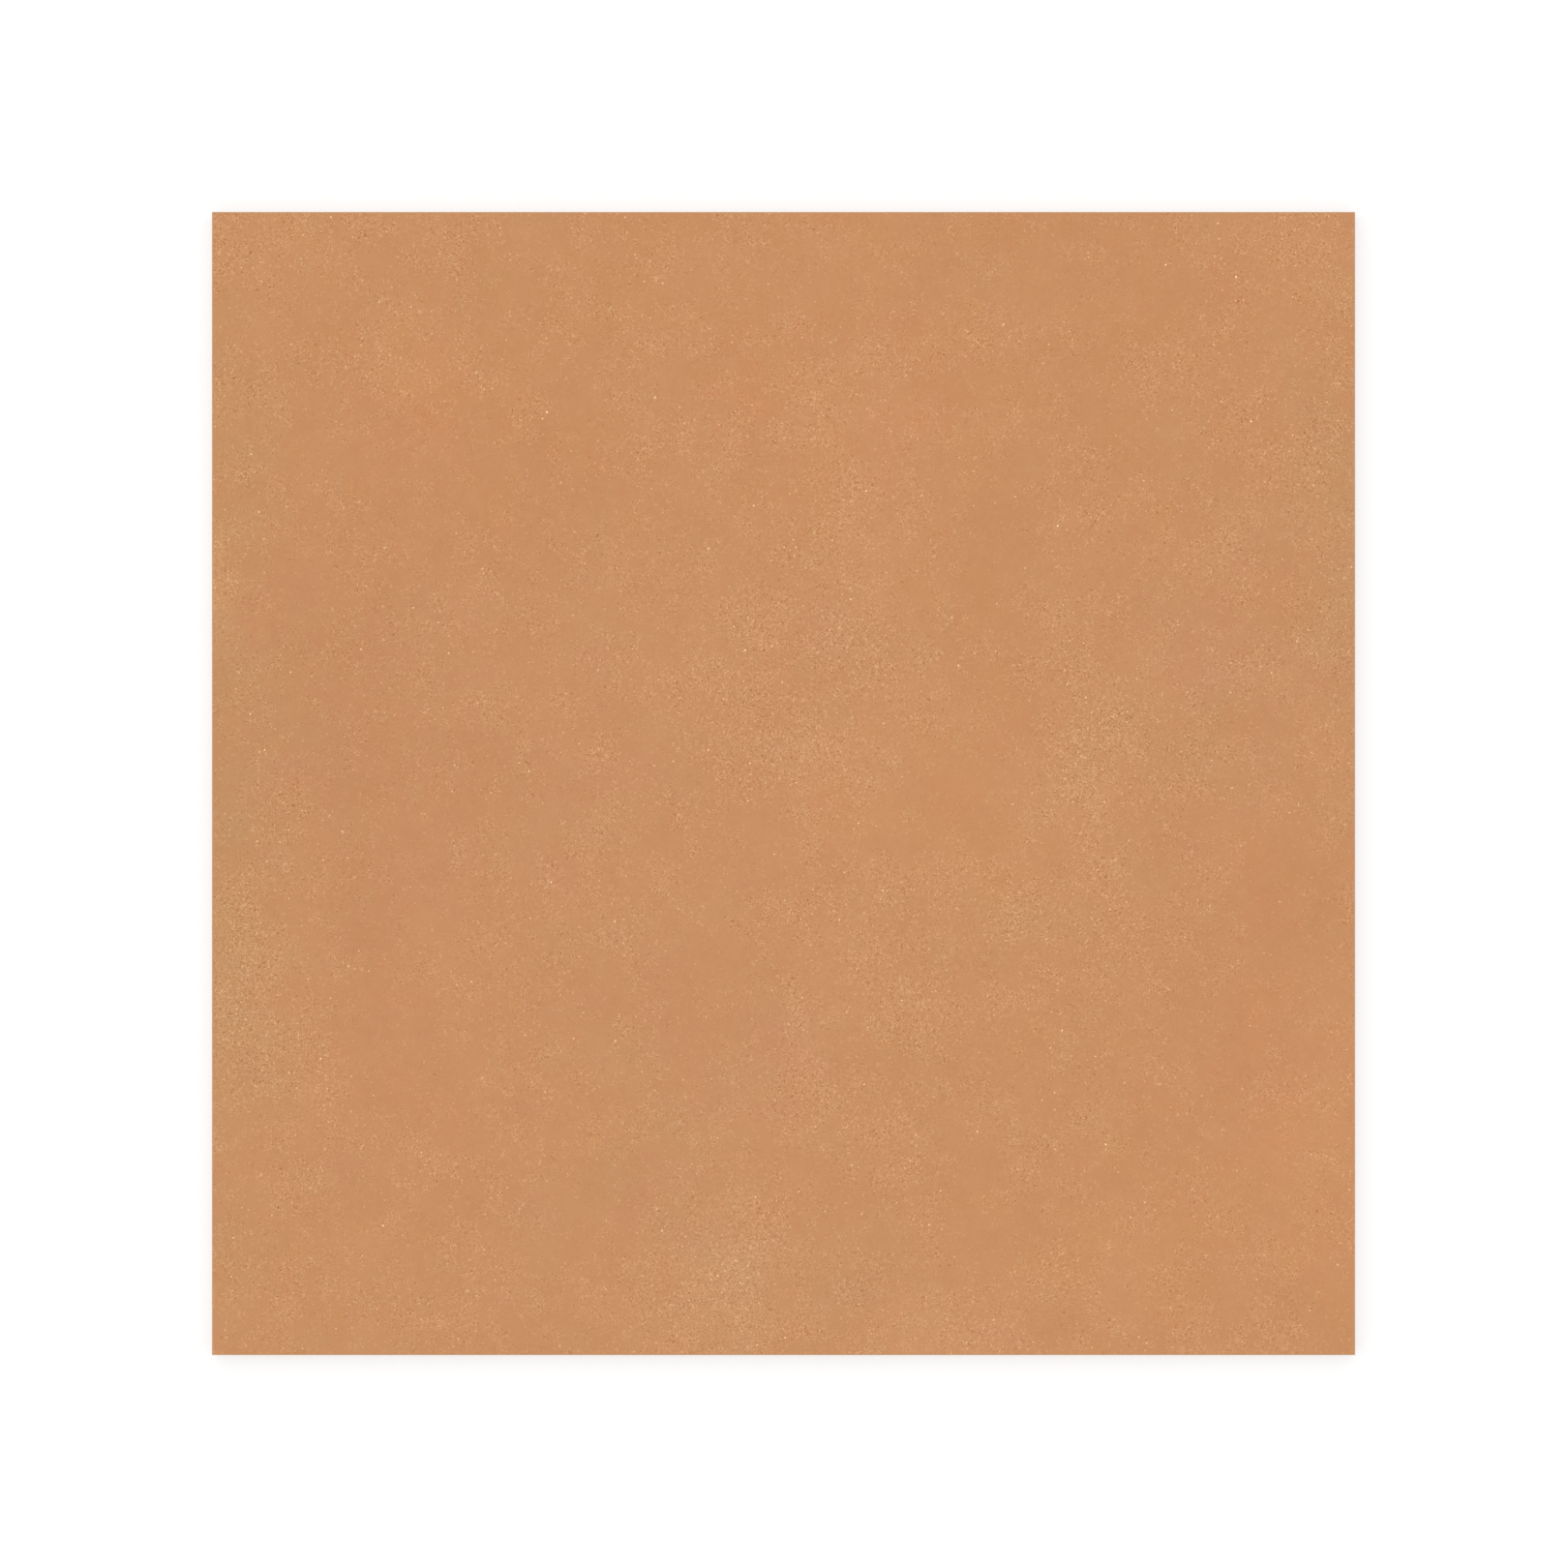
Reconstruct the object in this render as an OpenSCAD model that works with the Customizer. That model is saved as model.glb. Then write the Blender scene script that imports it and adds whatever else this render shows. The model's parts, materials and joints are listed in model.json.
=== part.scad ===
// Rectified porcelain tile
//
// One fired piece, lying on its back with the face up. The origin is the middle of the
// back, on the plane that the rib crests rest on. X and Y run along the edges and Z is up.
// The face is flat inside a fine ground bevel. The back is a grid of low ribs between
// drafted cells, which the adhesive keys into, inside a plain band.

/* [Tile] */
// Length along X
tile_length = 600; // [300:1:800]
// Width along Y
tile_width = 600; // [300:1:800]
// Thickness from the rib crests to the face
tile_thickness = 9; // [6:0.1:20]

/* [Edges] */
// Width of the 45 degree bevel ground round the face
face_bevel = 0.5; // [0.2:0.1:1.5]
// Width of the 45 degree bevel that the press die leaves round the back
back_bevel = 0.8; // [0.2:0.1:1.5]

/* [Back] */
// Width of the plain band between the back bevel and the cells
band_width = 14; // [6:0.5:40]
// Widest distance between rib centres before another pair of ribs fits in
rib_pitch = 24; // [20:0.5:60]
// Width of a rib's flat crest
rib_crest = 2.5; // [1:0.1:5]
// Depth of the cells between the ribs
cell_depth = 0.7; // [0.3:0.1:1.5]
// Lean of the cell walls from upright, in degrees, so that the die lifts out
cell_draft = 40; // [10:1:60]

/* [Hidden] */

porcelain = [0.79, 0.57, 0.4];

// How far the cutting shapes start below the back
overcut = 0.2;

// Span of the cells along a side, with half a crest beyond the outer mouths
function cell_span(side) = side - 2 * (back_bevel + band_width) + rib_crest;

// Number of cells along a side: an even number, so that two ribs cross in the middle
function cell_count(side) = 2 * ceil(cell_span(side) / (2 * rib_pitch));

// Distance between rib centres once whole cells fill the span
function even_pitch(side) = cell_span(side) / cell_count(side);

// Section of the tile across one pair of edges, with a bevel at each corner
module edge_section(side) {
    half = side / 2;
    polygon([
        [-half + back_bevel, 0],
        [half - back_bevel, 0],
        [half, back_bevel],
        [half, tile_thickness - face_bevel],
        [half - face_bevel, tile_thickness],
        [-half + face_bevel, tile_thickness],
        [-half, tile_thickness - face_bevel],
        [-half, back_bevel],
    ]);
}

// Section across one row of cells: a trapezium for each, widest at the rib crests
module cell_row_section(side) {
    pitch = even_pitch(side);
    slope = tan(cell_draft);
    half_mouth = (pitch - rib_crest) / 2;
    half_start = half_mouth + overcut * slope;
    half_floor = half_mouth - cell_depth * slope;
    for (i = [0 : cell_count(side) - 1])
        translate([pitch * (i + 0.5) - cell_span(side) / 2, 0])
            polygon([
                [-half_start, -overcut],
                [half_start, -overcut],
                [half_floor, cell_depth],
                [-half_floor, cell_depth],
            ]);
}

// Extrudes an upright section along Y, evenly to both sides of the middle
module along_y(run) {
    rotate([90, 0, 0])
        linear_extrude(height = run, center = true)
            children();
}

// The same along X
module along_x(run) {
    rotate([0, 0, 90])
        along_y(run)
            children();
}

// The plate with its bevels, which meet in mitres at the corners
module bevelled_plate() {
    intersection() {
        along_y(tile_width)
            edge_section(tile_length);
        along_x(tile_length)
            edge_section(tile_width);
    }
}

// Every cell of the back, where the rows along X cross the rows along Y
module keying_cells() {
    intersection() {
        along_y(tile_width)
            cell_row_section(tile_length);
        along_x(tile_length)
            cell_row_section(tile_width);
    }
}

module tile() {
    color(porcelain)
        difference() {
            bevelled_plate();
            keying_cells();
        }
}

tile();
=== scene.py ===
# %% [markdown]
# # A rectified porcelain tile
#
# The tile is one slab of porcelain: pressed as powder, printed, fired, and then ground square.
# This lesson rebuilds its visible skin with Geometry Nodes, finishes it with node materials and
# puts it under plain studio light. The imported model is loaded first, because every size below
# is read from it and nothing is measured twice.

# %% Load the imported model
import json
import math

import bmesh
import bpy
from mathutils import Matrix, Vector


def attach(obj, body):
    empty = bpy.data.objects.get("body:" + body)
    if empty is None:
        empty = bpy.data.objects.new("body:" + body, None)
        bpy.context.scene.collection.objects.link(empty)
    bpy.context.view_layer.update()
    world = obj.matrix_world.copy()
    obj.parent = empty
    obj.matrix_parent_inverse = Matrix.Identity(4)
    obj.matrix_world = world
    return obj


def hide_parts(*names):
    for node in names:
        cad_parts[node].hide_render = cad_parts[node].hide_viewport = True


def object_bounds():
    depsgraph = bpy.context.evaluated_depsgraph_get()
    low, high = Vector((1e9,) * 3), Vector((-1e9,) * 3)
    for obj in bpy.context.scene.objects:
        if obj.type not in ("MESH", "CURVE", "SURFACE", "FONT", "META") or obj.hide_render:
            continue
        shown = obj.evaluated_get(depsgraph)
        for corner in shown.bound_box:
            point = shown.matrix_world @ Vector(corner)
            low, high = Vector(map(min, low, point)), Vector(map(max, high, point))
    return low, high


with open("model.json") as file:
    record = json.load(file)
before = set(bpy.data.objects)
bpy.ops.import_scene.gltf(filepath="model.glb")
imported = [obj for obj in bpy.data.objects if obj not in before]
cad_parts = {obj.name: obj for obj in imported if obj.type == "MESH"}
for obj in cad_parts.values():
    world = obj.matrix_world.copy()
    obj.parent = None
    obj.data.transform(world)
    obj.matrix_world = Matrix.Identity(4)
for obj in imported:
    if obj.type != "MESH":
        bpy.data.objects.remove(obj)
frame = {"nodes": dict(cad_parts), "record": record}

MM = 0.001

cad_low, cad_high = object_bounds()
length, width, thickness = cad_high - cad_low
print(f"tile: {length / MM:.1f} x {width / MM:.1f} x {thickness / MM:.1f} mm")

# %% [markdown]
# ## Reading the back off the solid
#
# The underside of a pressed tile is a grid of low ribs, so that adhesive keys into the cells
# between them. The solid already has that grid with sharp corners. Its rib spacing, crest
# width and depth are read from the corners of the solid, so the softer skin made here lands
# on the same ribs even if somebody changes the model.

# %% Measure the rib grid and the bevels
SAME = 0.01 * MM
INNER_SHARE = 0.45


def distinct(values):
    """The different values in rising order, where near ones count as one."""
    kept = []
    for value in sorted(values):
        if not kept or value - kept[-1] > SAME:
            kept.append(value)
    return kept


solid_points = [v.co for v in frame["nodes"]["tile"].data.vertices]
outer_reach = INNER_SHARE * min(length, width)
inner_points = [p for p in solid_points if max(abs(p.x), abs(p.y)) < outer_reach]
cell_depth = max(p.z for p in inner_points)


def rib_grid(axis):
    """The number of cells along an axis, their spacing, the crest width and the wall's run."""
    floors = distinct(p[axis] for p in solid_points if abs(p.z - cell_depth) < SAME)
    crests = distinct(abs(p[axis]) for p in inner_points if p.z < SAME)
    spacing = floors[2] - floors[0]
    crest = 2 * crests[0]
    run = (spacing - crest - (floors[1] - floors[0])) / 2
    return len(floors) // 2, spacing, crest, run


cells_x, pitch_x, rib_crest, wall_run = rib_grid(0)
cells_y, pitch_y = rib_grid(1)[:2]
levels = distinct(p.z for p in solid_points if max(abs(p.x), abs(p.y)) > outer_reach)
rim_levels = [z for z in levels if abs(z - cell_depth) > SAME]
back_bevel = rim_levels[1]
face_bevel = thickness - rim_levels[-2]
print(f"cells: {cells_x} x {cells_y}, {pitch_x / MM:.2f} mm apart, {cell_depth / MM:.2f} mm deep")
print(f"crest {rib_crest / MM:.2f} mm, wall run {wall_run / MM:.2f} mm")
print(f"bevels: face {face_bevel / MM:.2f} mm, back {back_bevel / MM:.2f} mm")

# %% [markdown]
# ## Writing node trees as expressions
#
# Both the shape and the finish are node trees. Wiring them by hand hides the arithmetic, so a
# small class wraps a socket and lets ordinary operators add the Math nodes. Every other node
# comes from one method, which sets the node's own options before it fills or links its inputs.

# %% A socket that does arithmetic, and a tree that makes nodes
class Value:
    """A number on a socket. An operator on it adds a Math node."""

    def __init__(self, graph, socket):
        self.graph = graph
        self.socket = socket

    def __add__(self, other):
        return self.graph.math("ADD", self, other)

    def __sub__(self, other):
        return self.graph.math("SUBTRACT", self, other)

    def __rsub__(self, other):
        return self.graph.math("SUBTRACT", other, self)

    def __mul__(self, other):
        return self.graph.math("MULTIPLY", self, other)

    def __truediv__(self, other):
        return self.graph.math("DIVIDE", self, other)

    def __mod__(self, other):
        return self.graph.math("MODULO", self, other)

    def __rpow__(self, other):
        return self.graph.math("POWER", other, self)

    def __gt__(self, other):
        return self.graph.math("GREATER_THAN", self, other)

    def __lt__(self, other):
        return self.graph.math("LESS_THAN", self, other)

    __radd__ = __add__


class Graph:
    """A node tree under construction."""

    def __init__(self, tree):
        self.tree = tree

    def feed(self, socket, value):
        """Links a value or a socket to an input, or writes a plain number or colour there."""
        if isinstance(value, Value):
            value = value.socket
        if isinstance(value, bpy.types.NodeSocket):
            self.tree.links.new(value, socket)
        else:
            socket.default_value = value

    def node(self, kind, settings=None, inputs=None):
        """A new node, with its settings made first and then its inputs filled."""
        node = self.tree.nodes.new(kind)
        for name, setting in (settings or {}).items():
            setattr(node, name, setting)
        for name, value in (inputs or {}).items():
            self.feed(node.inputs[name], value)
        return node

    def math(self, operation, *terms):
        """The number that a Math node makes of its terms."""
        made = self.node("ShaderNodeMath", {"operation": operation}, dict(enumerate(terms)))
        return Value(self, made.outputs[0])

    def vector(self, operation, *terms):
        """The vector that a Vector Math node makes, or the number where it is a dot product."""
        made = self.node("ShaderNodeVectorMath", {"operation": operation}, dict(enumerate(terms)))
        if operation == "DOT_PRODUCT":
            return Value(self, made.outputs["Value"])
        return made.outputs["Vector"]

    def split(self, vector):
        """The three numbers of a vector."""
        made = self.node("ShaderNodeSeparateXYZ", inputs={"Vector": vector})
        return [Value(self, socket) for socket in made.outputs]

    def combine(self, x, y, z):
        """A vector from three numbers."""
        return self.node("ShaderNodeCombineXYZ", inputs={"X": x, "Y": y, "Z": z}).outputs[0]

    def mix(self, low, high, share):
        """low where share is 0, high where it is 1."""
        return low + (high - low) * share


# %% [markdown]
# ## The shape: one tree from sizes to slab
#
# The back repeats one cell hundreds of times, and the rim is a profile carried round a
# rectangle. That is a rule, so Geometry Nodes make the whole skin. A cell is a stack of rings,
# three points at each corner: the edge it shares with its neighbours, two rings for the
# softened lip, two for the softened foot and a pole in the middle of the floor. A die can't
# press a sharp corner, so the rings keep a round corner that the solid leaves out.

# %% Sizes of the softened skin
CORNER_POINTS = 3
RING_POINTS = 4 * CORNER_POINTS
CELL_CORNER = 2.0 * MM
LIP = 0.25 * MM
EDGE_SOFTNESS = 0.15
MERGE_GAP = 0.01 * MM

tile_tree = bpy.data.node_groups.new("tile_skin", "GeometryNodeTree")
skin = Graph(tile_tree)
tree_sizes = {
    "Length": length,
    "Width": width,
    "Thickness": thickness,
    "Face Bevel": face_bevel,
    "Back Bevel": back_bevel,
    "Cells X": cells_x,
    "Cells Y": cells_y,
    "Pitch X": pitch_x,
    "Pitch Y": pitch_y,
    "Rib Crest": rib_crest,
    "Wall Run": wall_run,
    "Cell Depth": cell_depth,
    "Cell Corner": CELL_CORNER,
    "Lip": LIP,
}
identifiers = {}
for name, amount in tree_sizes.items():
    kind = "NodeSocketInt" if isinstance(amount, int) else "NodeSocketFloat"
    made = tile_tree.interface.new_socket(name=name, in_out="INPUT", socket_type=kind)
    identifiers[name] = made.identifier
tile_tree.interface.new_socket(
    name="Geometry", in_out="OUTPUT", socket_type="NodeSocketGeometry"
)
group_input = skin.node("NodeGroupInput")
size = {name: Value(skin, group_input.outputs[name]) for name in tree_sizes}
print("inputs of the tree:", ", ".join(tree_sizes))

# %% [markdown]
# The cell starts as a flat grid whose rows are the rings and whose columns go round. Each
# point finds its own ring and step from its index. Integer division gives the ring, and the
# rest of that division gives the step. The last column falls on the first and is merged.

# %% One cell as a stack of rings
cell_rings = [
    # how far the ring reaches from the corner's centre, and its height
    (size["Cell Corner"] + size["Rib Crest"] / 2, 0.0),
    (size["Cell Corner"] + size["Lip"], 0.0),
    (size["Cell Corner"] - size["Wall Run"] * 0.25, size["Cell Depth"] * 0.25),
    (size["Cell Corner"] - size["Wall Run"] * 0.75, size["Cell Depth"] * 0.75),
    (size["Cell Corner"] - size["Wall Run"] - size["Lip"], size["Cell Depth"]),
    (0.0, size["Cell Depth"]),
]


def pick(index, choices):
    """The choice whose place in the list is index."""
    switch = skin.node("GeometryNodeIndexSwitch", {"data_type": "FLOAT"})
    while len(switch.index_switch_items) < len(choices):
        switch.index_switch_items.new()
    skin.feed(switch.inputs["Index"], index)
    for place, choice in enumerate(choices):
        skin.feed(switch.inputs[place + 1], choice)
    return Value(skin, switch.outputs[0])


cell_grid = skin.node(
    "GeometryNodeMeshGrid",
    inputs={"Vertices X": len(cell_rings), "Vertices Y": RING_POINTS + 1},
)
point_index = Value(skin, skin.node("GeometryNodeInputIndex").outputs[0])
ring = skin.math("FLOOR", point_index / (RING_POINTS + 1))
step = point_index % (RING_POINTS + 1)
corner = skin.math("FLOOR", step / CORNER_POINTS)
turn = (corner + (step % CORNER_POINTS) / (CORNER_POINTS - 1)) * (math.pi / 2)
diagonal = (corner + 0.5) * (math.pi / 2)
reach = pick(ring, [reach for reach, height in cell_rings])
shared_edge = ring < 0.5
inside_pole = ring < len(cell_rings) - 1.5


def ring_place(trig, pitch):
    """Where a ring's point lies along one axis. The shared edge goes square to its corner."""
    way = skin.math(trig, turn)
    way = skin.mix(way, skin.math("ROUND", way), shared_edge)
    corner_centre = (pitch - size["Rib Crest"]) / 2 - size["Cell Corner"]
    side = skin.math("SIGN", skin.math(trig, diagonal))
    return (side * corner_centre + way * reach) * inside_pole


cell_points = skin.combine(
    ring_place("COSINE", size["Pitch X"]),
    ring_place("SINE", size["Pitch Y"]),
    pick(ring, [height for reach, height in cell_rings]),
)
cell_shaped = skin.node(
    "GeometryNodeSetPosition",
    inputs={"Geometry": cell_grid.outputs["Mesh"], "Position": cell_points},
)
cell = skin.node(
    "GeometryNodeMergeByDistance",
    inputs={"Geometry": cell_shaped.outputs[0], "Distance": MERGE_GAP},
)
print(f"a cell has {len(cell_rings) - 1} bands of {RING_POINTS} faces")

# %% [markdown]
# A grid of points, one for each cell, carries an instance of the cell. Realized and merged,
# the neighbours share their edge points, and the ribs between them become one surface.

# %% Lay the cells side by side
cell_centres = skin.node(
    "GeometryNodeMeshGrid",
    inputs={
        "Size X": size["Pitch X"] * (size["Cells X"] - 1),
        "Size Y": size["Pitch Y"] * (size["Cells Y"] - 1),
        "Vertices X": size["Cells X"],
        "Vertices Y": size["Cells Y"],
    },
)
laid = skin.node(
    "GeometryNodeInstanceOnPoints",
    inputs={"Points": cell_centres.outputs["Mesh"], "Instance": cell.outputs[0]},
)
realized = skin.node("GeometryNodeRealizeInstances", inputs={"Geometry": laid.outputs[0]})
field = skin.node(
    "GeometryNodeMergeByDistance",
    inputs={"Geometry": realized.outputs[0], "Distance": MERGE_GAP},
)
print(f"{cells_x * cells_y} cells side by side")

# %% [markdown]
# The rim grows out of the open edge of that field. Each pass extrudes the open edge, and then
# moves the new points out or in to the next rectangle of the profile and up to its height:
# plain band, die-rounded back bevel, upright ground side, and the fine ground bevel of the
# face. Points at a corner belong to both sides, so they move both ways and the corners mitre.

# %% Carry the profile round the rim
def open_edge():
    """Picks the edges that only one face uses."""
    faces = skin.node("GeometryNodeInputMeshEdgeNeighbors").outputs["Face Count"]
    return skin.math("COMPARE", faces, 1, 0.5)


def grow_rim(mesh, before, after, height):
    """A new ring of faces, from the rectangle before to the rectangle after at a height."""
    grown = skin.node(
        "GeometryNodeExtrudeMesh",
        {"mode": "EDGES"},
        {"Mesh": mesh, "Selection": open_edge(), "Offset Scale": 0.0},
    )
    x, y, _ = skin.split(skin.node("GeometryNodeInputPosition").outputs[0])
    moved = []
    for place, half_before, half_after in ((x, before[0], after[0]), (y, before[1], after[1])):
        on_side = skin.math("ABSOLUTE", place) > half_before - MERGE_GAP
        moved.append(skin.mix(place, skin.math("SIGN", place) * half_after, on_side))
    placed = skin.node(
        "GeometryNodeSetPosition",
        inputs={
            "Geometry": grown.outputs["Mesh"],
            "Selection": grown.outputs["Top"],
            "Position": skin.combine(*moved, height),
        },
    )
    return placed.outputs[0]


def half_sides(inset):
    """Half the length and half the width of the rectangle that lies inset from the outline."""
    return [size["Length"] / 2 - inset, size["Width"] / 2 - inset]


back_bevel_size = size["Back Bevel"]
face_bevel_size = size["Face Bevel"]
soft = EDGE_SOFTNESS
rim_profile = [
    # inset from the outline, and height
    (back_bevel_size * (1 + soft), back_bevel_size * 0.0),
    (back_bevel_size * (1 - soft), back_bevel_size * soft / 2),
    (back_bevel_size * soft / 2, back_bevel_size * (1 - soft)),
    (back_bevel_size * 0.0, back_bevel_size * (1 + soft)),
    (back_bevel_size * 0.0, size["Thickness"] - face_bevel_size * (1 + soft)),
    (face_bevel_size * soft / 2, size["Thickness"] - face_bevel_size * (1 - soft)),
    (face_bevel_size * (1 - soft), size["Thickness"] - face_bevel_size * soft / 2),
    (face_bevel_size * (1 + soft), size["Thickness"]),
]
slab = field.outputs[0]
here = [size["Pitch X"] * size["Cells X"] / 2, size["Pitch Y"] * size["Cells Y"] / 2]
for inset, height in rim_profile:
    there = half_sides(inset)
    slab = grow_rim(slab, here, there, height)
    here = there
print(f"the rim has {len(rim_profile)} rings of faces")

# %% [markdown]
# What is left open is the face itself. It is flat, so its outline becomes a curve that is
# filled with one polygon. Filling drops the polygon to the ground, so it is lifted again. The
# three finishes are told apart by height: the fired face on top, the ground sides between, and
# the pressed back below. Only the sloping walls of the cells are shaded smooth, which keeps the
# flats true.

# %% Close the face and hand out the finishes
outline = skin.node(
    "GeometryNodeMeshToCurve", inputs={"Mesh": slab, "Selection": open_edge()}
)
filled = skin.node(
    "GeometryNodeFillCurve", {"mode": "NGONS"}, {"Curve": outline.outputs[0]}
)
face_polygon = skin.node(
    "GeometryNodeSetPosition",
    inputs={"Geometry": filled.outputs[0], "Offset": skin.combine(0.0, 0.0, size["Thickness"])},
)
joined = skin.node("GeometryNodeJoinGeometry")
for part in (face_polygon.outputs[0], slab):
    tile_tree.links.new(part, joined.inputs[0])
closed = skin.node(
    "GeometryNodeMergeByDistance",
    inputs={"Geometry": joined.outputs[0], "Distance": MERGE_GAP},
)
face_height = skin.split(skin.node("GeometryNodeInputPosition").outputs[0])[2]
on_wall = (face_height > MERGE_GAP) * (face_height < size["Cell Depth"] - MERGE_GAP)
flat = skin.node(
    "GeometryNodeSetShadeSmooth",
    {"domain": "FACE"},
    {"Geometry": closed.outputs[0], "Shade Smooth": False},
)
shaded = skin.node(
    "GeometryNodeSetShadeSmooth",
    {"domain": "FACE"},
    {"Geometry": flat.outputs[0], "Selection": on_wall, "Shade Smooth": True},
)
finishes = {
    "ground_edge": True,
    "fired_face": face_height > size["Thickness"] - MERGE_GAP,
    "pressed_back": face_height < size["Thickness"] / 4,
}
finished = skin.node(
    "GeometryNodeRealizeInstances", inputs={"Geometry": shaded.outputs[0]}
).outputs[0]
for name, where in finishes.items():
    finished = skin.node(
        "GeometryNodeSetMaterial",
        inputs={
            "Geometry": finished,
            "Selection": where,
            "Material": bpy.data.materials.new(name),
        },
    ).outputs[0]
skin.node("NodeGroupOutput", inputs={"Geometry": finished})
print("finishes:", ", ".join(finishes))

# %% [markdown]
# The tree is put on an empty mesh, its inputs are set by identifier, and the evaluated result
# is copied into a plain mesh. After that the modifier has done its work and goes.

# %% Turn the tree into a plain mesh
seed_object = bpy.data.objects.new("tile_seed", bpy.data.meshes.new("tile_seed"))
bpy.context.scene.collection.objects.link(seed_object)
modifier = seed_object.modifiers.new("tile_skin", "NODES")
modifier.node_group = tile_tree
for name, amount in tree_sizes.items():
    modifier[identifiers[name]] = amount
seed_object.update_tag()
depsgraph = bpy.context.evaluated_depsgraph_get()
tile_mesh = bpy.data.meshes.new_from_object(
    seed_object.evaluated_get(depsgraph), preserve_all_data_layers=True, depsgraph=depsgraph
)
bpy.data.objects.remove(seed_object)
while None in tile_mesh.materials[:]:
    tile_mesh.materials.pop(index=tile_mesh.materials[:].index(None))

shell = bmesh.new()
shell.from_mesh(tile_mesh)
bmesh.ops.recalc_face_normals(shell, faces=shell.faces)
open_edges = sum(1 for edge in shell.edges if not edge.is_manifold)
volume = shell.calc_volume()
shell.to_mesh(tile_mesh)
shell.free()
tile_mesh.name = "porcelain_tile"
tile = bpy.data.objects.new("porcelain_tile", tile_mesh)
bpy.context.scene.collection.objects.link(tile)
tile_mesh.calc_loop_triangles()
print(f"{len(tile_mesh.polygons)} faces, {len(tile_mesh.loop_triangles)} triangles,"
      f" {open_edges} open edges, {volume * 1e6:.0f} cubic cm,"
      f" materials {[m.name for m in tile_mesh.materials]}")

# %% [markdown]
# ## A map for baking
#
# When the finish is baked into a picture, the face deserves most of the room. The map lays the
# face in one large square. The back is cut along its middle rib, and its halves go in the
# strips that are left at the right and at the top, with the four sides in slots beside them.

# %% Lay out the charts
FACE_SHARE = 0.8
CHART_GAP = 0.003
SIDE_SLOT = 0.01
BEVEL_TILT = 0.1

side_places = {
    # which way a side looks: across the map or up it, and the slot's place
    (0, 1): ("up", FACE_SHARE + CHART_GAP),
    (0, -1): ("up", FACE_SHARE + SIDE_SLOT + 2 * CHART_GAP),
    (1, 1): ("across", FACE_SHARE + CHART_GAP),
    (1, -1): ("across", FACE_SHARE + SIDE_SLOT + 2 * CHART_GAP),
}
back_start = FACE_SHARE + 2 * SIDE_SLOT + 3 * CHART_GAP
back_share = 1 - CHART_GAP - back_start


def chart_place(face, point):
    """Where a point of a face lies on the map."""
    along_x = point.x / length + 0.5
    along_y = point.y / width + 0.5
    up = point.z / thickness
    finish = tile_mesh.materials[face.material_index].name
    if finish == "pressed_back":
        if face.center.x > 0:
            return (back_start + (2 * along_x - 1) * back_share,
                    CHART_GAP + along_y * (1 - 2 * CHART_GAP))
        return (CHART_GAP + along_y * (FACE_SHARE - 2 * CHART_GAP),
                back_start + 2 * along_x * back_share)
    if finish == "fired_face" or face.normal.z > BEVEL_TILT:
        share = FACE_SHARE - 2 * CHART_GAP
        return CHART_GAP + along_x * share, CHART_GAP + along_y * share
    axis = 0 if abs(face.normal.x) > abs(face.normal.y) else 1
    way, start = side_places[axis, round(face.normal[axis])]
    along = CHART_GAP + (along_y if axis == 0 else along_x) * (FACE_SHARE - 2 * CHART_GAP)
    across = start + up * SIDE_SLOT
    return (across, along) if way == "up" else (along, across)


bake_map = tile_mesh.uv_layers.new(name="OFBake")
for face in tile_mesh.polygons:
    for corner_index in face.loop_indices:
        point = tile_mesh.vertices[tile_mesh.loops[corner_index].vertex_index].co
        bake_map.uv[corner_index].vector = chart_place(face, point)
print(f"the face takes {FACE_SHARE:.0%} of the map's width, and half the back {back_share:.1%}")

# %% [markdown]
# ## The fired face
#
# The face is a matt terracotta that never repeats: broad clouds drift between rose, ochre and
# sand, and clusters of fine pale grains and small pits lie over them. The pits are darkened with
# painted shade in their hollows. One picture would fix its sharpness, so the finish is computed
# in object space. Three numbers carry it, each counted in just-visible steps: how light, how red
# and how yellow a spot is. A colour is then the clay's own plus so many steps of each. The clay's
# own colour comes from the record, less the little white light that a matt surface adds by its
# sheen. Pale grains have a step of their own, towards cream.

# %% Colours of the clay
SHEEN = 0.018
CLAY = tuple(part - SHEEN for part in frame["record"]["materials"][0]["base_color"][:3])
LIGHTER = (0.0192, 0.0114, 0.0069)
REDDER = (0.0098, -0.0029, 0.0002)
YELLOWER = (0.0023, -0.0002, -0.0050)
PALER = (0.0156, 0.0122, 0.0081)
OCTAVE_STEP = 2.17
SPECK_EDGE = 1.4


def material_graph(name):
    """An emptied material tree with its output and a Principled shader."""
    material = bpy.data.materials[name]
    material.use_nodes = True
    material.node_tree.nodes.clear()
    graph = Graph(material.node_tree)
    shader = graph.node("ShaderNodeBsdfPrincipled")
    graph.node("ShaderNodeOutputMaterial", inputs={"Surface": shader.outputs[0]})
    place = graph.node("ShaderNodeTexCoord").outputs["Object"]
    return graph, shader, place


def noise(graph, place, size_mm, detail, roughness, seed=(0, 0, 0), flat=False):
    """Soft noise about zero, whose largest features are about size_mm across."""
    moved = graph.vector("ADD", place, seed)
    made = graph.node(
        "ShaderNodeTexNoise",
        {"noise_dimensions": "2D" if flat else "3D"},
        {
            "Vector": moved,
            "Scale": 1 / (size_mm * MM),
            "Detail": detail,
            "Roughness": roughness,
            "Lacunarity": OCTAVE_STEP,
        },
    )
    return Value(graph, made.outputs["Fac"]) - 0.5


def clamped(graph, value):
    """value, held between 0 and 1."""
    return graph.math("MINIMUM", graph.math("MAXIMUM", value, 0), 1)


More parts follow.
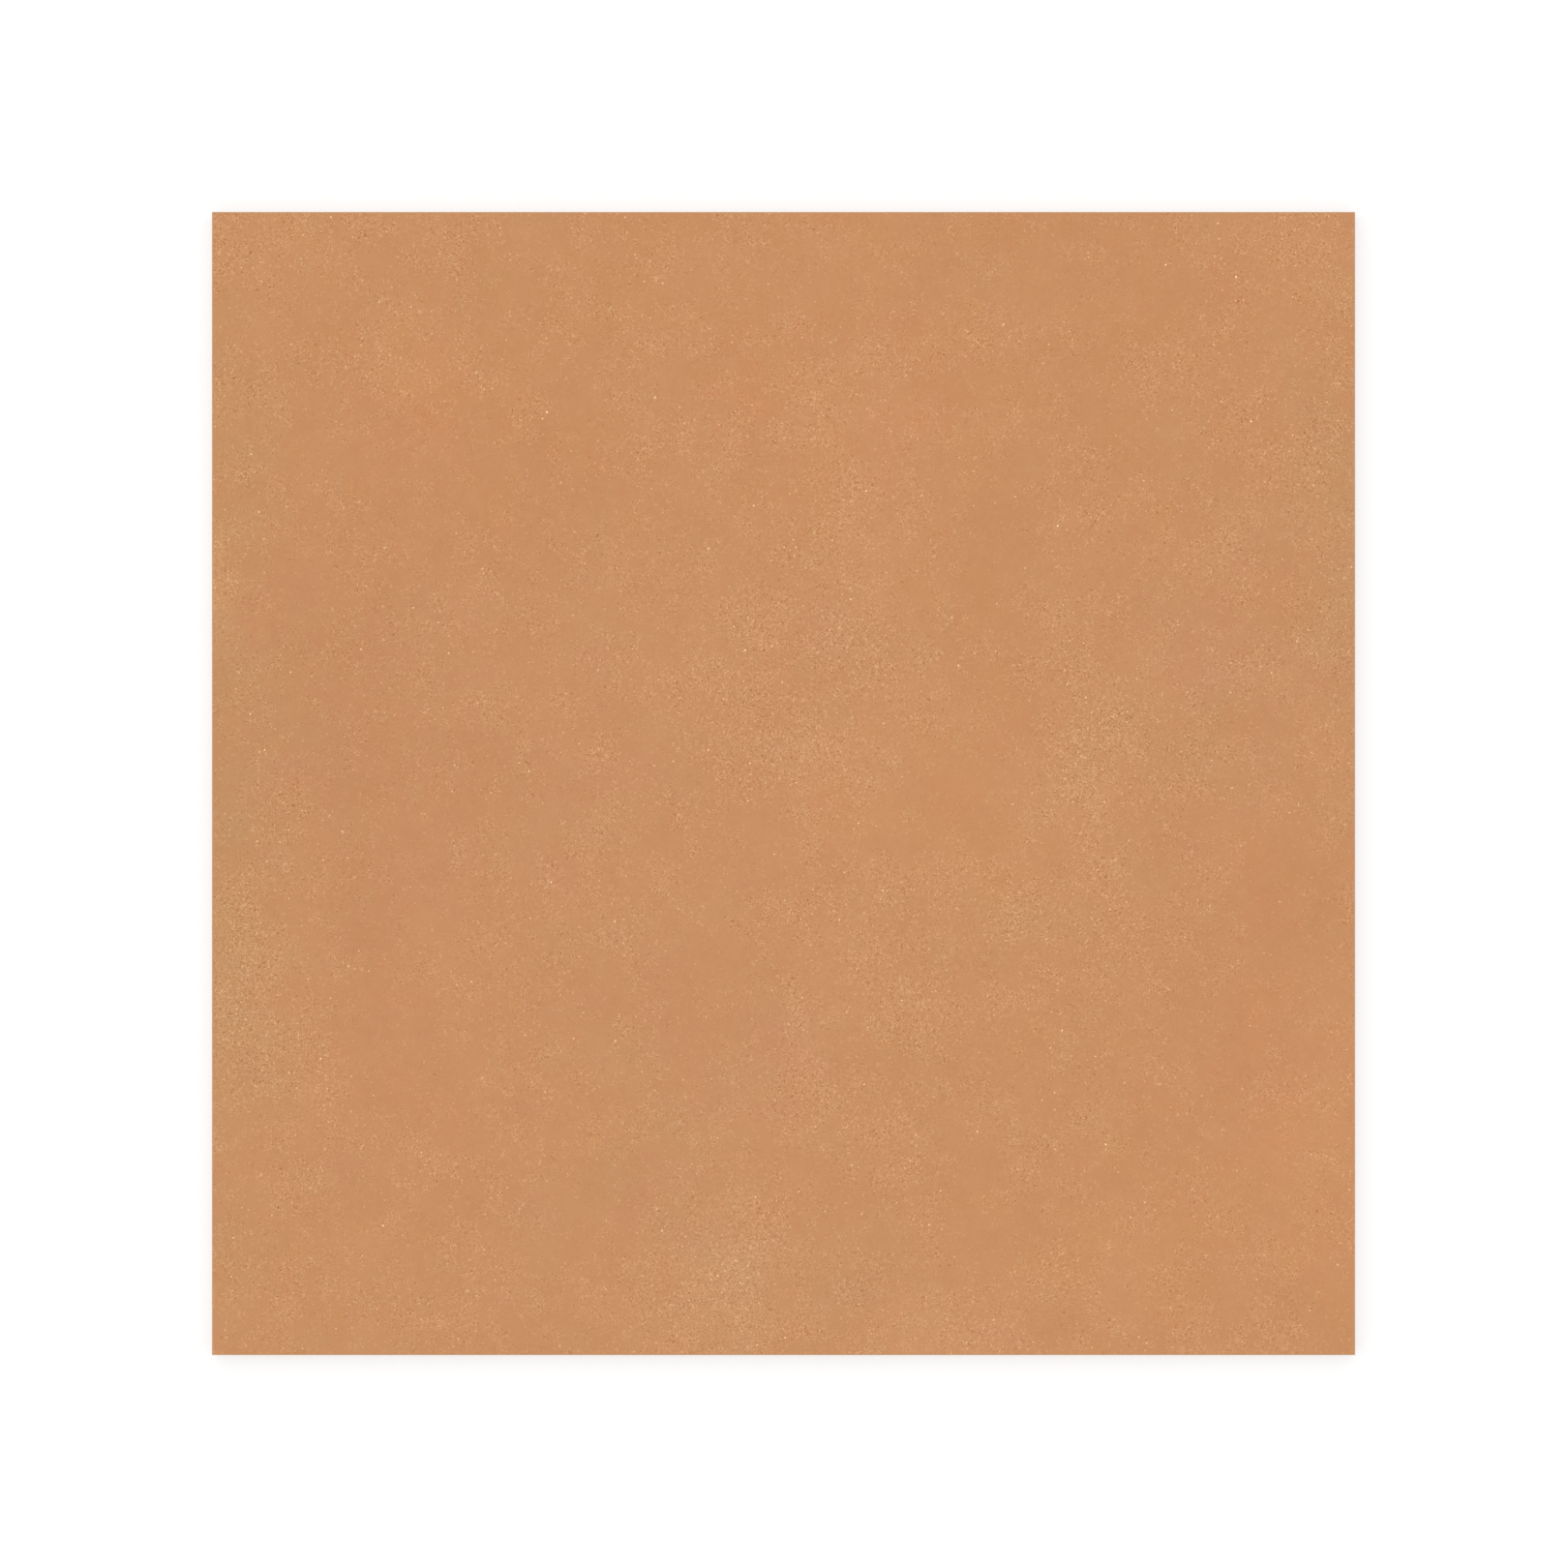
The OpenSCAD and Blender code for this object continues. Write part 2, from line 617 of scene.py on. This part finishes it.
def specks(graph, place, spacing_mm, size_mm, rarity, seed=(0, 0, 0), flat=True):
    """Scattered round specks, from 0 to 1. A high rarity leaves most of them out."""
    moved = graph.vector("ADD", place, seed)
    cells = graph.node(
        "ShaderNodeTexVoronoi",
        {"voronoi_dimensions": "2D" if flat else "3D", "feature": "F1"},
        {"Vector": moved, "Scale": 1 / (spacing_mm * MM)},
    )
    distance = Value(graph, cells.outputs["Distance"])
    lot, _, _ = graph.split(cells.outputs["Color"])
    shape = clamped(graph, SPECK_EDGE - distance * (SPECK_EDGE * spacing_mm / size_mm))
    return shape * graph.math("POWER", lot, rarity)


def steps(lighter, redder, yellower):
    """The colour change of so many steps along the three directions."""
    return tuple(
        lighter * light + redder * red + yellower * yellow
        for light, red, yellow in zip(LIGHTER, REDDER, YELLOWER)
    )


def tinted(graph, colour, changes):
    """A colour, changed by each amount times the colour change that goes with it."""
    for amount, change in changes:
        colour = graph.vector("MULTIPLY_ADD", amount, change, colour)
    return colour


print("clay:", ", ".join(f"{part:.3f}" for part in CLAY))

# %% [markdown]
# The broad clouds are composed as a tile designer lays out a print. Each row is a
# soft oval: its centre and its reach as shares of the tile, from the left and near edges, and
# how much lighter, redder, yellower and grainier it makes the clay. An oval fades out as a bell
# curve does. Warped coordinates turn the ovals into clouds.

# %% Compose the clouds
CLOUDS = [
    # across, up, half-width, half-height, lighter, redder, yellower, grainier
    (0.00, 0.67, 0.03, 0.04, 2.5, -1.2, 0.0, 1.5),
    (0.56, 0.82, 0.09, 0.15, 0.4, 0.3, 0.0, 0.1),
    (0.53, 0.58, 0.09, 0.11, 0.1, 0.0, -0.2, 1.3),
    (0.62, 0.45, 0.16, 0.11, 0.4, 0.0, 0.9, 0.0),
    (0.77, 0.52, 0.04, 0.07, 0.2, -0.7, -0.5, 2.2),
    (0.85, 0.54, 0.03, 0.05, 0.0, -0.9, -0.2, 0.8),
    (0.72, 0.38, 0.03, 0.03, 0.0, -0.9, 0.0, 0.2),
    (0.69, 0.38, 0.12, 0.04, 0.1, -0.3, -0.3, 0.9),
    (0.62, 0.28, 0.04, 0.05, 0.0, 0.0, 0.0, 0.6),
    (0.52, 0.24, 0.05, 0.05, 0.4, 0.0, -0.4, 0.9),
    (0.03, 0.33, 0.06, 0.13, 0.2, -0.8, -0.3, 1.6),
    (0.45, 0.07, 0.06, 0.05, 0.9, -1.3, -0.6, 1.8),
    (0.56, 0.04, 0.04, 0.04, 0.0, -1.2, -0.3, 0.3),
    (0.65, 0.02, 0.05, 0.04, 1.0, 0.0, -0.4, 0.9),
    (0.81, 0.09, 0.08, 0.07, 0.7, 0.0, 0.5, 0.0),
    (0.97, 0.17, 0.05, 0.14, 1.0, 0.4, 0.6, 0.0),
    (0.20, 0.86, 0.05, 0.04, 0.6, 0.3, 0.3, 0.1),
    (0.08, 0.51, 0.03, 0.03, 0.3, 0.0, 0.0, 1.0),
    (0.22, 0.35, 0.06, 0.05, 0.0, -0.2, 0.0, 0.5),
    (0.05, 0.97, 0.06, 0.04, 0.2, 0.0, 0.0, 0.9),
    (0.97, 0.97, 0.04, 0.04, 0.2, 0.0, 0.0, 1.2),
    (0.96, 0.76, 0.03, 0.06, 0.0, 0.0, 0.0, 1.0),
    (0.11, 0.53, 0.11, 0.17, -0.9, 0.0, -0.5, -0.3),
    (0.24, 0.77, 0.12, 0.08, -0.4, 0.6, 0.3, -0.7),
    (0.42, 0.29, 0.07, 0.04, -0.4, 0.0, -0.4, -0.9),
    (0.67, 0.70, 0.04, 0.11, -0.1, 0.0, 0.3, -1.2),
    (0.64, 0.50, 0.07, 0.04, 0.3, 0.0, 0.2, -1.4),
    (0.45, 0.44, 0.05, 0.03, 0.0, 0.0, 0.0, -0.9),
    (0.70, 0.96, 0.20, 0.05, -0.1, 0.0, 0.1, -0.8),
    (0.94, 0.39, 0.05, 0.08, -0.6, 0.9, 0.3, -1.2),
    (0.68, 0.11, 0.03, 0.08, 0.2, 0.0, 0.2, -0.8),
    (0.33, 0.11, 0.05, 0.06, 0.0, 0.0, -0.3, -0.7),
    (0.17, 0.80, 0.05, 0.06, 0.0, 1.0, 0.1, 0.0),
    (0.47, 0.86, 0.03, 0.04, 0.0, 1.5, 0.1, 0.0),
    (0.60, 0.80, 0.05, 0.08, 0.0, 0.9, 0.0, 0.0),
    (0.17, 0.31, 0.08, 0.13, 0.0, 1.2, 0.0, -1.0),
    (0.91, 0.26, 0.06, 0.12, 0.0, 1.2, 0.0, -0.4),
    (0.90, 0.96, 0.03, 0.04, 0.0, 1.0, 0.0, 0.0),
    (-0.02, 0.55, 0.06, 0.50, 0.0, -2.0, -0.3, 0.0),
    (1.00, 0.70, 0.05, 0.16, 0.0, -1.8, -0.8, 0.2),
    (0.38, 0.18, 0.03, 0.05, 0.0, -1.0, -0.1, 0.0),
    (0.50, 0.92, 0.60, 0.18, 0.0, 0.0, 0.8, 0.0),
    (0.90, 0.13, 0.20, 0.15, 0.0, 0.0, 0.6, -0.2),
    (0.28, 0.52, 0.22, 0.17, 0.0, 0.1, -0.6, 0.0),
    (0.45, 0.18, 0.13, 0.20, 0.0, 0.0, -0.6, 0.0),
    (0.92, 0.60, 0.10, 0.14, 0.0, 0.0, -1.0, 0.1),
]
FADE = math.exp(-1)
CLOUD_WARP = 0.12
WARP_SIZE = 50 * MM
CLOUD_DEPTH = 1.12


def compose_clouds(graph, place, colour):
    """The clouded colour at a place, and how grainy it is there."""
    warp = graph.node(
        "ShaderNodeTexNoise",
        {"noise_dimensions": "2D"},
        {"Vector": place, "Scale": 1 / WARP_SIZE, "Detail": 3.0, "Roughness": 0.65},
    )
    middle = 0.5 - CLOUD_WARP / 2
    shifted = graph.vector(
        "MULTIPLY_ADD", warp.outputs["Color"], (CLOUD_WARP, CLOUD_WARP, 0), (middle, middle, 0)
    )
    at = graph.vector("MULTIPLY_ADD", place, (1 / length, 1 / width, 0), shifted)
    grainy = 0.0
    for across, up, half_width, half_height, lighter, redder, yellower, grainier in CLOUDS:
        off = graph.vector(
            "MULTIPLY_ADD",
            at,
            (1 / half_width, 1 / half_height, 0),
            (-across / half_width, -up / half_height, 0),
        )
        near = FADE ** graph.vector("DOT_PRODUCT", off, off)
        change = (CLOUD_DEPTH * part for part in (lighter, redder, yellower))
        colour = tinted(graph, colour, [(near, steps(*change))])
        if grainier:
            grainy = graph.math("MULTIPLY_ADD", near, grainier, grainy)
    return colour, grainy


print(len(CLOUDS), "clouds")

# %% [markdown]
# Over the clouds comes mottling, with much the same contrast at every size from 50 mm down to
# a few millimetres, as in real clay. The noises are turned against the tile's edges, as noise
# lies in a grid that would show.
#
# The grain is finer still and gathers in patches, where it lifts the clay to a cream haze. Its
# base is a felt of short pale and dark marks. Plain noise makes round dots, so the felt is
# noise at a place that another small noise has pushed about, which draws the dots out into
# strokes. The felt's square is added to it, because the pale strokes are the stronger ones.
# Pale grains, a few very pale ones and small pits are scattered on top. The pits' darker colour
# is painted shade in their hollows, and the bump sinks them as well.

# %% Finish the fired face
NOISE_TURN = 0.6
SWIRL_SIZE = 2 * MM
SWIRL_PUSH = 4 * MM

graph, shader, place = material_graph("fired_face")
colour, grainy = compose_clouds(graph, place, CLAY)

turned = graph.node(
    "ShaderNodeVectorRotate", {"rotation_type": "Z_AXIS"}, {"Vector": place, "Angle": NOISE_TURN}
).outputs[0]
mottle = noise(graph, turned, 50, detail=4, roughness=1, seed=(1, 2, 0), flat=True)
rose = noise(graph, turned, 45, detail=3, roughness=0.85, seed=(3, 1, 0), flat=True)
ochre = noise(graph, turned, 50, detail=3, roughness=0.85, seed=(7, 5, 0), flat=True)

patches = noise(graph, turned, 35, detail=5, roughness=1, seed=(2, 9, 0), flat=True)
haze = clamped(graph, patches * 6 + grainy * 0.48 + 0.32)
strength = haze * 2.0 + 0.15

swirl = graph.node(
    "ShaderNodeTexNoise",
    {"noise_dimensions": "2D"},
    {"Vector": turned, "Scale": 1 / SWIRL_SIZE, "Detail": 1.0, "Roughness": 0.6},
)
push = (SWIRL_PUSH, SWIRL_PUSH, 0)
swirled = graph.vector("MULTIPLY_ADD", swirl.outputs["Color"], push, turned)
felt = noise(graph, swirled, 0.9, detail=2, roughness=0.8, seed=(5, 2, 0), flat=True)
felt = felt + felt * felt * 0.35
grain = specks(graph, turned, 1.7, 0.6, 20)
rare = specks(graph, turned, 1.7, 0.6, 700)
pit = specks(graph, turned, 1.5, 0.55, 14, seed=(0.4, 0.7, 0))
# The pit term darkens the colour: painted shade in the pits' hollows.
pale = strength * (felt * 26 + grain * 7 + rare * 15 - pit * 4) + grain * 7 + rare * 12

colour = tinted(
    graph,
    colour,
    [
        (mottle * 5 + haze * 1.15, LIGHTER),
        (rose * 4.8 - mottle * 2.5 - haze * 0.65 + 0.15, REDDER),
        (ochre * 4.8 - haze * 0.2, YELLOWER),
        (pale, PALER),
    ],
)
graph.feed(shader.inputs["Base Color"], colour)
graph.feed(shader.inputs["Roughness"], 0.72 + felt * 0.25)
shader.inputs["Specular IOR Level"].default_value = 0.3
height = felt * 0.5 - pit
bump = graph.node(
    "ShaderNodeBump", inputs={"Strength": 0.5, "Distance": 0.05 * MM, "Height": height}
)
graph.feed(shader.inputs["Normal"], bump.outputs[0])
print("fired face:", len(graph.tree.nodes), "nodes")

# %% [markdown]
# ## The ground sides
#
# Wheels grind the fired slab square. They leave the bare body showing, with cut grains of pale
# quartz and dark grog, and faint marks along the edge. The grains are balls in space that the
# side cuts through, so they are made in three dimensions. The marks are noise at a place that
# hardly changes along the edge, which draws them out long.

# %% Finish the ground sides
BODY = (0.60, 0.32, 0.17)
MARK_STRETCH = (0.03, 0.03, 1)

graph, shader, place = material_graph("ground_edge")
stretched = graph.vector("MULTIPLY", place, MARK_STRETCH)
marks = noise(graph, stretched, 0.5, detail=3, roughness=0.7)
cloud = noise(graph, place, 40, detail=4, roughness=0.6, seed=(4, 4, 4))
fine = noise(graph, place, 1.0, detail=3, roughness=0.8, seed=(1, 6, 2))
quartz = specks(graph, place, 1.1, 0.55, 2, seed=(2, 2, 7), flat=False)
grog = specks(graph, place, 1.5, 0.55, 4, seed=(5, 1, 3), flat=False)
light = cloud * 5 + fine * 10 + marks * 3 + quartz * 7 - grog * 10
body = tinted(graph, BODY, [(light, LIGHTER), (cloud * 3, REDDER)])
graph.feed(shader.inputs["Base Color"], body)
graph.feed(shader.inputs["Roughness"], 0.6 + marks * 0.3)
shader.inputs["Specular IOR Level"].default_value = 0.35
bump = graph.node(
    "ShaderNodeBump", inputs={"Strength": 0.4, "Distance": 0.03 * MM, "Height": marks + fine - grog}
)
graph.feed(shader.inputs["Normal"], bump.outputs[0])
print("ground edge:", len(graph.tree.nodes), "nodes")

# %% [markdown]
# ## The pressed back
#
# The back is the same body, rougher, as the press left it. Before firing its high parts are
# brushed with a chalky wash that keeps the slab from sticking to the kiln rollers. The wash
# lies only on the crests and the plain band, in streaks along the way the slab travelled.

# %% Finish the pressed back
WASH = (0.74, 0.66, 0.58)
WASH_REACH = 0.25 * cell_depth
STREAK_STRETCH = (0.08, 1, 1)

graph, shader, place = material_graph("pressed_back")
height_now = graph.split(place)[2]
on_crest = clamped(graph, 1 - height_now / WASH_REACH)
drawn_out = graph.vector("MULTIPLY", place, STREAK_STRETCH)
streaks = noise(graph, drawn_out, 6, detail=5, roughness=0.65)
worn = noise(graph, place, 45, detail=5, roughness=0.65, seed=(8, 3, 1))
wash = clamped(graph, streaks * 2.2 + worn * 2.5 + 0.45) * on_crest * 0.8
cloud = noise(graph, place, 60, detail=5, roughness=0.7, seed=(6, 1, 8))
fine = noise(graph, place, 1.2, detail=3, roughness=0.75, seed=(9, 9, 0))
light = cloud * 6 + fine * 14 - 1.5
body = tinted(graph, BODY, [(light, LIGHTER), (cloud * 2, REDDER)])
washed = graph.node(
    "ShaderNodeMix",
    {"data_type": "RGBA"},
    {0: wash, 6: body, 7: (*WASH, 1)},
)
graph.feed(shader.inputs["Base Color"], washed.outputs[2])
graph.feed(shader.inputs["Roughness"], 0.85 + fine * 0.2)
shader.inputs["Specular IOR Level"].default_value = 0.25
bump = graph.node(
    "ShaderNodeBump", inputs={"Strength": 0.6, "Distance": 0.1 * MM, "Height": fine}
)
graph.feed(shader.inputs["Normal"], bump.outputs[0])
print("pressed back:", len(graph.tree.nodes), "nodes")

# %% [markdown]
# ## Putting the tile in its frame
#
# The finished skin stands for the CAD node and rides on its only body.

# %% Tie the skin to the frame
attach(tile, "root")
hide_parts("tile")
print(tile.name, "stands for the node tile")

# %% [markdown]
# ## Studio
#
# The tile lies on a plain white floor under an even sky that is a little brighter to one side,
# as in a studio with a large soft lamp. The camera looks straight down, from a quarter of a
# millimetre beside the tile's middle.
#
# The floor shows white to the camera, because it glows for those rays only, and still takes the
# tile's soft shadow. It has an opening just smaller than the tile and is clear from below, so
# that the back can be lit and looked at as well.

# %% Lay the floor
FLOOR_REACH = 4.0
FLOOR_DROP = 0.05 * MM
OPENING_INSET = 1 * MM
FLOOR_COLOUR = 0.5
FLOOR_LIGHT = 1.04


def white_to_camera(graph):
    """1 for rays that show the background itself, straight or in a reflection."""
    path = graph.node("ShaderNodeLightPath")
    seen = Value(graph, path.outputs["Is Camera Ray"])
    for other in ("Is Glossy Ray", "Is Transmission Ray"):
        seen = graph.math("MAXIMUM", seen, path.outputs[other])
    return seen


hole_x = length / 2 - OPENING_INSET
hole_y = width / 2 - OPENING_INSET
floor_points = [
    (side_x * reach_x, side_y * reach_y, -FLOOR_DROP)
    for reach_x, reach_y in ((hole_x, hole_y), (FLOOR_REACH, FLOOR_REACH))
    for side_x, side_y in ((-1, -1), (1, -1), (1, 1), (-1, 1))
]
floor_faces = [(i, 4 + i, 4 + (i + 1) % 4, (i + 1) % 4) for i in range(4)]
floor_mesh = bpy.data.meshes.new("floor")
floor_mesh.from_pydata(floor_points, [], floor_faces)
floor = bpy.data.objects.new("floor", floor_mesh)
bpy.context.scene.collection.objects.link(floor)

paint = bpy.data.materials.new("floor_paint")
paint.use_nodes = True
paint.node_tree.nodes.clear()
graph = Graph(paint.node_tree)
matt = graph.node("ShaderNodeBsdfDiffuse", inputs={"Color": (FLOOR_COLOUR,) * 3 + (1,)})
glow_strength = white_to_camera(graph) * (FLOOR_LIGHT - FLOOR_COLOUR)
glow = graph.node("ShaderNodeEmission", inputs={"Strength": glow_strength})
both = graph.node("ShaderNodeAddShader", inputs={0: matt.outputs[0], 1: glow.outputs[0]})
clear = graph.node("ShaderNodeBsdfTransparent")
below = graph.node("ShaderNodeNewGeometry").outputs["Backfacing"]
sided = graph.node(
    "ShaderNodeMixShader", inputs={0: below, 1: both.outputs[0], 2: clear.outputs[0]}
)
graph.node("ShaderNodeOutputMaterial", inputs={"Surface": sided.outputs[0]})
floor_mesh.materials.append(paint)
print(f"floor {2 * FLOOR_REACH:.0f} m wide, {FLOOR_DROP / MM:.2f} mm below the tile")

# %% [markdown]
# The sky is all the light there is. It has no small bright spot to aim at, so Cycles needn't
# sample it as a lamp: rays that leave the clay find it anyway, and the picture is done sooner.

# %% Light the tile and set the camera
SHADE = 0.76
KEY_STRENGTH = 0.45
KEY_DIRECTION = (-0.4, 0.5, 0.77)
world = bpy.data.worlds.new("studio")
bpy.context.scene.world = world
world.cycles.sampling_method = "NONE"
world.use_nodes = True
world.node_tree.nodes.clear()
graph = Graph(world.node_tree)
way = graph.node("ShaderNodeTexCoord").outputs["Generated"]
facing_key = graph.math("MAXIMUM", graph.vector("DOT_PRODUCT", way, KEY_DIRECTION), 0)
light_there = SHADE + facing_key * KEY_STRENGTH
strength = light_there + white_to_camera(graph) * (1 - light_there)
sky = graph.node("ShaderNodeBackground", inputs={"Color": (1, 1, 1, 1), "Strength": strength})
graph.node("ShaderNodeOutputWorld", inputs={"Surface": sky.outputs[0]})

FACE_IN_FRAME = 0.7292
LENS = 85
CAMERA_ASIDE = 0.25 * MM
camera_data = bpy.data.cameras.new("camera")
camera_data.lens = LENS
camera = bpy.data.objects.new("camera", camera_data)
distance = length / FACE_IN_FRAME * camera_data.lens / camera_data.sensor_width
camera.location = (CAMERA_ASIDE, -CAMERA_ASIDE, thickness + distance)
bpy.context.scene.collection.objects.link(camera)
bpy.context.scene.camera = camera
bpy.context.scene.view_settings.view_transform = "Standard"
print(f"camera {distance:.3f} m above the face, frame {length / FACE_IN_FRAME:.3f} m wide")
